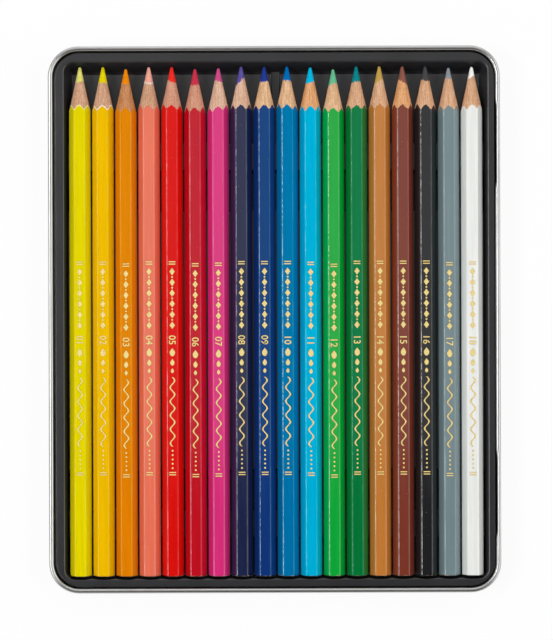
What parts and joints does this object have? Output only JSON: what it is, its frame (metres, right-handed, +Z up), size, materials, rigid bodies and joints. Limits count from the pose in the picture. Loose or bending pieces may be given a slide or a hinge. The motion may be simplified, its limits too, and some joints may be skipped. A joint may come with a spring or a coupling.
{
  "type": "watercolour pencil set",
  "caption": "Row of hexagonal watercolour pencils lying in a black formed tray inside an open flat metal tin with rounded corners and a rolled rim.",
  "frame": {"origin": "centre of the tin's footprint, on the surface that it stands on", "axes": "+X across the row of pencils towards the hinge side, +Y along the pencils towards their points, +Z up"},
  "size_m": [0.156, 0.1888, 0.01],
  "materials": {
    "tinplate": "bright tinplate",
    "tray_black": "satin black",
    "lemon_yellow_lacquer": "gloss lacquer on cedar",
    "lemon_yellow_core": "matt pigment",
    "golden_yellow_lacquer": "gloss lacquer on cedar",
    "golden_yellow_core": "matt pigment",
    "orange_lacquer": "gloss lacquer on cedar",
    "orange_core": "matt pigment",
    "salmon_lacquer": "gloss lacquer on cedar",
    "salmon_core": "matt pigment",
    "scarlet_lacquer": "gloss lacquer on cedar",
    "scarlet_core": "matt pigment",
    "crimson_lacquer": "gloss lacquer on cedar",
    "crimson_core": "matt pigment",
    "magenta_lacquer": "gloss lacquer on cedar",
    "magenta_core": "matt pigment",
    "violet_lacquer": "gloss lacquer on cedar",
    "violet_core": "matt pigment",
    "ultramarine_lacquer": "gloss lacquer on cedar",
    "ultramarine_core": "matt pigment",
    "cobalt_blue_lacquer": "gloss lacquer on cedar",
    "cobalt_blue_core": "matt pigment",
    "sky_blue_lacquer": "gloss lacquer on cedar",
    "sky_blue_core": "matt pigment",
    "light_green_lacquer": "gloss lacquer on cedar",
    "light_green_core": "matt pigment",
    "dark_green_lacquer": "gloss lacquer on cedar",
    "dark_green_core": "matt pigment",
    "ochre_lacquer": "gloss lacquer on cedar",
    "ochre_core": "matt pigment",
    "brown_lacquer": "gloss lacquer on cedar",
    "brown_core": "matt pigment",
    "black_lacquer": "gloss lacquer on cedar",
    "black_core": "matt pigment",
    "grey_lacquer": "gloss lacquer on cedar",
    "grey_core": "matt pigment",
    "white_lacquer": "gloss lacquer on cedar",
    "white_core": "matt pigment"
  },
  "bodies": {
    "tin": {"tin_base": "tinplate"},
    "tray": {"tray_insert": "tray_black"},
    "pencil_lemon_yellow": {"lemon_yellow_casing": "lemon_yellow_lacquer", "lemon_yellow_core": "lemon_yellow_core"},
    "pencil_golden_yellow": {"golden_yellow_casing": "golden_yellow_lacquer", "golden_yellow_core": "golden_yellow_core"},
    "pencil_orange": {"orange_casing": "orange_lacquer", "orange_core": "orange_core"},
    "pencil_salmon": {"salmon_casing": "salmon_lacquer", "salmon_core": "salmon_core"},
    "pencil_scarlet": {"scarlet_casing": "scarlet_lacquer", "scarlet_core": "scarlet_core"},
    "pencil_crimson": {"crimson_casing": "crimson_lacquer", "crimson_core": "crimson_core"},
    "pencil_magenta": {"magenta_casing": "magenta_lacquer", "magenta_core": "magenta_core"},
    "pencil_violet": {"violet_casing": "violet_lacquer", "violet_core": "violet_core"},
    "pencil_ultramarine": {"ultramarine_casing": "ultramarine_lacquer", "ultramarine_core": "ultramarine_core"},
    "pencil_cobalt_blue": {"cobalt_blue_casing": "cobalt_blue_lacquer", "cobalt_blue_core": "cobalt_blue_core"},
    "pencil_sky_blue": {"sky_blue_casing": "sky_blue_lacquer", "sky_blue_core": "sky_blue_core"},
    "pencil_light_green": {"light_green_casing": "light_green_lacquer", "light_green_core": "light_green_core"},
    "pencil_dark_green": {"dark_green_casing": "dark_green_lacquer", "dark_green_core": "dark_green_core"},
    "pencil_ochre": {"ochre_casing": "ochre_lacquer", "ochre_core": "ochre_core"},
    "pencil_brown": {"brown_casing": "brown_lacquer", "brown_core": "brown_core"},
    "pencil_black": {"black_casing": "black_lacquer", "black_core": "black_core"},
    "pencil_grey": {"grey_casing": "grey_lacquer", "grey_core": "grey_core"},
    "pencil_white": {"white_casing": "white_lacquer", "white_core": "white_core"}
  },
  "joints": [
    {"name": "tray_lift", "type": "slide", "parent": "tin", "child": "tray", "axis": [0, 0, 1], "range_m": [0, 0.03]},
    {"name": "lemon_yellow_lift", "type": "slide", "parent": "tray", "child": "pencil_lemon_yellow", "axis": [0, 0, 1], "range_m": [0, 0.04]},
    {"name": "golden_yellow_lift", "type": "slide", "parent": "tray", "child": "pencil_golden_yellow", "axis": [0, 0, 1], "range_m": [0, 0.04]},
    {"name": "orange_lift", "type": "slide", "parent": "tray", "child": "pencil_orange", "axis": [0, 0, 1], "range_m": [0, 0.04]},
    {"name": "salmon_lift", "type": "slide", "parent": "tray", "child": "pencil_salmon", "axis": [0, 0, 1], "range_m": [0, 0.04]},
    {"name": "scarlet_lift", "type": "slide", "parent": "tray", "child": "pencil_scarlet", "axis": [0, 0, 1], "range_m": [0, 0.04]},
    {"name": "crimson_lift", "type": "slide", "parent": "tray", "child": "pencil_crimson", "axis": [0, 0, 1], "range_m": [0, 0.04]},
    {"name": "magenta_lift", "type": "slide", "parent": "tray", "child": "pencil_magenta", "axis": [0, 0, 1], "range_m": [0, 0.04]},
    {"name": "violet_lift", "type": "slide", "parent": "tray", "child": "pencil_violet", "axis": [0, 0, 1], "range_m": [0, 0.04]},
    {"name": "ultramarine_lift", "type": "slide", "parent": "tray", "child": "pencil_ultramarine", "axis": [0, 0, 1], "range_m": [0, 0.04]},
    {"name": "cobalt_blue_lift", "type": "slide", "parent": "tray", "child": "pencil_cobalt_blue", "axis": [0, 0, 1], "range_m": [0, 0.04]},
    {"name": "sky_blue_lift", "type": "slide", "parent": "tray", "child": "pencil_sky_blue", "axis": [0, 0, 1], "range_m": [0, 0.04]},
    {"name": "light_green_lift", "type": "slide", "parent": "tray", "child": "pencil_light_green", "axis": [0, 0, 1], "range_m": [0, 0.04]},
    {"name": "dark_green_lift", "type": "slide", "parent": "tray", "child": "pencil_dark_green", "axis": [0, 0, 1], "range_m": [0, 0.04]},
    {"name": "ochre_lift", "type": "slide", "parent": "tray", "child": "pencil_ochre", "axis": [0, 0, 1], "range_m": [0, 0.04]},
    {"name": "brown_lift", "type": "slide", "parent": "tray", "child": "pencil_brown", "axis": [0, 0, 1], "range_m": [0, 0.04]},
    {"name": "black_lift", "type": "slide", "parent": "tray", "child": "pencil_black", "axis": [0, 0, 1], "range_m": [0, 0.04]},
    {"name": "grey_lift", "type": "slide", "parent": "tray", "child": "pencil_grey", "axis": [0, 0, 1], "range_m": [0, 0.04]},
    {"name": "white_lift", "type": "slide", "parent": "tray", "child": "pencil_white", "axis": [0, 0, 1], "range_m": [0, 0.04]}
  ]
}
